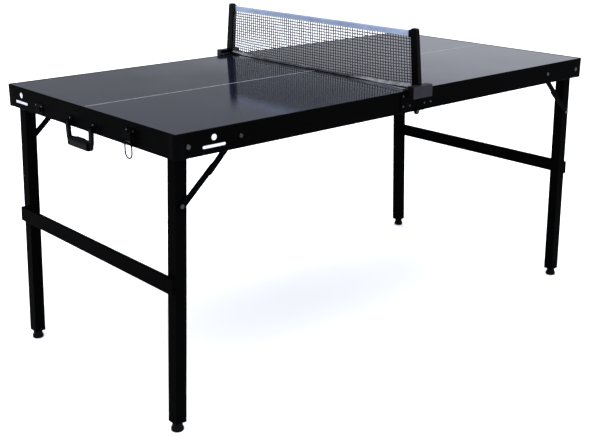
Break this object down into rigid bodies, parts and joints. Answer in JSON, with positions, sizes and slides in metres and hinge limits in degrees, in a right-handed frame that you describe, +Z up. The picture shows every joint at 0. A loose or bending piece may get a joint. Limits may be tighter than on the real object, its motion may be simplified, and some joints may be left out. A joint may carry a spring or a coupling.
{
  "type": "folding table tennis table",
  "caption": "Compact folding table tennis table: hinged halves, splayed folding legs with stays, lift-off net, carry handles and draw latches.",
  "frame": {"origin": "on the floor, under the centre of the table", "axes": "+X along the table's length, +Y across it, +Z up; half A is on the -X side"},
  "size_m": [1.537, 0.811, 0.865],
  "materials": {
    "black_rail": "satin black powder coat on aluminium extrusion",
    "black_moulding": "fine-grained moulded plastic",
    "grey_board": "dark grey satin lacquer on fibreboard",
    "black_tube": "semi-gloss black powder coat on steel tube",
    "black_sheet_steel": "black coated pressed steel",
    "black_fastener": "black coated steel",
    "nylon_spacer": "black nylon",
    "dark_wire": "dark plated spring wire",
    "handle_plastic": "moulded plastic with a soft sheen",
    "foot_rubber": "moulded rubber",
    "clamp_plastic": "dark grey moulded plastic",
    "post_plastic": "black moulded plastic",
    "net_cord": "knotted black net",
    "net_tape": "white woven edge tape"
  },
  "bodies": {
    "half_a": {"side_rail_near_a": "black_rail", "side_rail_far_a": "black_rail", "end_rail_a": "black_rail", "centre_rail_a": "black_rail", "corner_caps_a": "black_moulding", "playing_panel_a": "grey_board", "leg_bolts_a": "black_fastener", "pivot_spacers_a": "nylon_spacer", "stay_rail_rivets_a": "black_fastener", "handle_brackets_a": "black_sheet_steel", "latch_base_a": "black_sheet_steel", "catch_plate_a": "black_sheet_steel", "frame_fasteners_a": "black_fastener", "hinge_leaves_a": "black_sheet_steel", "hinge_pins": "black_fastener"},
    "legs_a": {"leg_near_a": "black_tube", "leg_far_a": "black_tube", "leg_crossbar_a": "black_tube", "leg_ferrules_a": "black_moulding", "stay_leg_rivets_a": "black_fastener"},
    "upper_stays_a": {"upper_stays_a": "black_sheet_steel"},
    "lower_stays_a": {"lower_stays_a": "black_sheet_steel"},
    "foot_near_a": {"foot_near_a": "foot_rubber"},
    "foot_far_a": {"foot_far_a": "foot_rubber"},
    "handle_a": {"carry_handle_a": "handle_plastic"},
    "latch_lever_a": {"latch_lever_a": "black_sheet_steel"},
    "latch_bail_a": {"latch_bail_a": "dark_wire"},
    "half_b": {"side_rail_near_b": "black_rail", "side_rail_far_b": "black_rail", "end_rail_b": "black_rail", "centre_rail_b": "black_rail", "corner_caps_b": "black_moulding", "playing_panel_b": "grey_board", "leg_bolts_b": "black_fastener", "pivot_spacers_b": "nylon_spacer", "stay_rail_rivets_b": "black_fastener", "handle_brackets_b": "black_sheet_steel", "latch_base_b": "black_sheet_steel", "catch_plate_b": "black_sheet_steel", "frame_fasteners_b": "black_fastener", "hinge_leaves_b": "black_sheet_steel"},
    "legs_b": {"leg_near_b": "black_tube", "leg_far_b": "black_tube", "leg_crossbar_b": "black_tube", "leg_ferrules_b": "black_moulding", "stay_leg_rivets_b": "black_fastener"},
    "upper_stays_b": {"upper_stays_b": "black_sheet_steel"},
    "lower_stays_b": {"lower_stays_b": "black_sheet_steel"},
    "foot_near_b": {"foot_near_b": "foot_rubber"},
    "foot_far_b": {"foot_far_b": "foot_rubber"},
    "handle_b": {"carry_handle_b": "handle_plastic"},
    "latch_lever_b": {"latch_lever_b": "black_sheet_steel"},
    "latch_bail_b": {"latch_bail_b": "dark_wire"},
    "net_set": {"net_clamp_near": "clamp_plastic", "net_clamp_far": "clamp_plastic", "net_post_near": "post_plastic", "net_post_far": "post_plastic", "net_mesh": "net_cord", "net_tape": "net_tape"}
  },
  "joints": [
    {"name": "table_fold", "type": "hinge", "parent": "half_a", "child": "half_b", "pos_m": [0, 0, 0.656], "axis": [0, 1, 0], "range_deg": [0, 90]},
    {"name": "net_lift", "type": "slide", "parent": "half_a", "child": "net_set", "axis": [0, 0, 1], "range_m": [0, 0.05]},
    {"name": "leg_fold_a", "type": "hinge", "parent": "half_a", "child": "legs_a", "pos_m": [-0.7165, 0, 0.682], "axis": [0, -1, 0], "range_deg": [0, 92.3]},
    {"name": "upper_stay_a", "type": "hinge", "parent": "half_a", "child": "upper_stays_a", "pos_m": [-0.574, 0, 0.684], "axis": [0, 1, 0], "range_deg": [0, 27.15]},
    {"name": "lower_stay_a", "type": "hinge", "parent": "legs_a", "child": "lower_stays_a", "pos_m": [-0.72196, 0, 0.54611], "axis": [0, -1, 0], "range_deg": [0, 63.2]},
    {"name": "foot_near_a_screw", "type": "slide", "parent": "legs_a", "child": "foot_near_a", "axis": [-0.0401, 0, -0.9992], "range_m": [0, 0.012]},
    {"name": "foot_far_a_screw", "type": "slide", "parent": "legs_a", "child": "foot_far_a", "axis": [-0.0401, 0, -0.9992], "range_m": [0, 0.012]},
    {"name": "handle_swing_a", "type": "hinge", "parent": "half_a", "child": "handle_a", "pos_m": [-0.7585, 0, 0.667], "axis": [0, 1, 0], "range_deg": [0, 95]},
    {"name": "latch_lever_a_swing", "type": "hinge", "parent": "half_a", "child": "latch_lever_a", "pos_m": [-0.757, -0.208, 0.6635], "axis": [0, -1, 0], "range_deg": [0, 110]},
    {"name": "latch_bail_a_swing", "type": "hinge", "parent": "latch_lever_a", "child": "latch_bail_a", "pos_m": [-0.757, -0.208, 0.6695], "axis": [0, -1, 0], "range_deg": [-110, 0]},
    {"name": "leg_fold_b", "type": "hinge", "parent": "half_b", "child": "legs_b", "pos_m": [0.7165, 0, 0.682], "axis": [0, 1, 0], "range_deg": [0, 92.3]},
    {"name": "upper_stay_b", "type": "hinge", "parent": "half_b", "child": "upper_stays_b", "pos_m": [0.574, 0, 0.684], "axis": [0, -1, 0], "range_deg": [0, 27.15]},
    {"name": "lower_stay_b", "type": "hinge", "parent": "legs_b", "child": "lower_stays_b", "pos_m": [0.72196, 0, 0.54611], "axis": [0, 1, 0], "range_deg": [0, 63.2]},
    {"name": "foot_near_b_screw", "type": "slide", "parent": "legs_b", "child": "foot_near_b", "axis": [0.0401, 0, -0.9992], "range_m": [0, 0.012]},
    {"name": "foot_far_b_screw", "type": "slide", "parent": "legs_b", "child": "foot_far_b", "axis": [0.0401, 0, -0.9992], "range_m": [0, 0.012]},
    {"name": "handle_swing_b", "type": "hinge", "parent": "half_b", "child": "handle_b", "pos_m": [0.7585, 0, 0.667], "axis": [0, -1, 0], "range_deg": [0, 95]},
    {"name": "latch_lever_b_swing", "type": "hinge", "parent": "half_b", "child": "latch_lever_b", "pos_m": [0.757, 0.208, 0.6635], "axis": [0, 1, 0], "range_deg": [0, 110]},
    {"name": "latch_bail_b_swing", "type": "hinge", "parent": "latch_lever_b", "child": "latch_bail_b", "pos_m": [0.757, 0.208, 0.6695], "axis": [0, 1, 0], "range_deg": [-110, 0]}
  ],
  "couplings": [
    {"joint": "upper_stay_a", "follows": "leg_fold_a", "ratio": 0.29374},
    {"joint": "lower_stay_a", "follows": "leg_fold_a", "ratio": 0.68404},
    {"joint": "latch_bail_a_swing", "follows": "latch_lever_a_swing", "ratio": -1},
    {"joint": "upper_stay_b", "follows": "leg_fold_b", "ratio": 0.29374},
    {"joint": "lower_stay_b", "follows": "leg_fold_b", "ratio": 0.68404},
    {"joint": "latch_bail_b_swing", "follows": "latch_lever_b_swing", "ratio": -1}
  ]
}
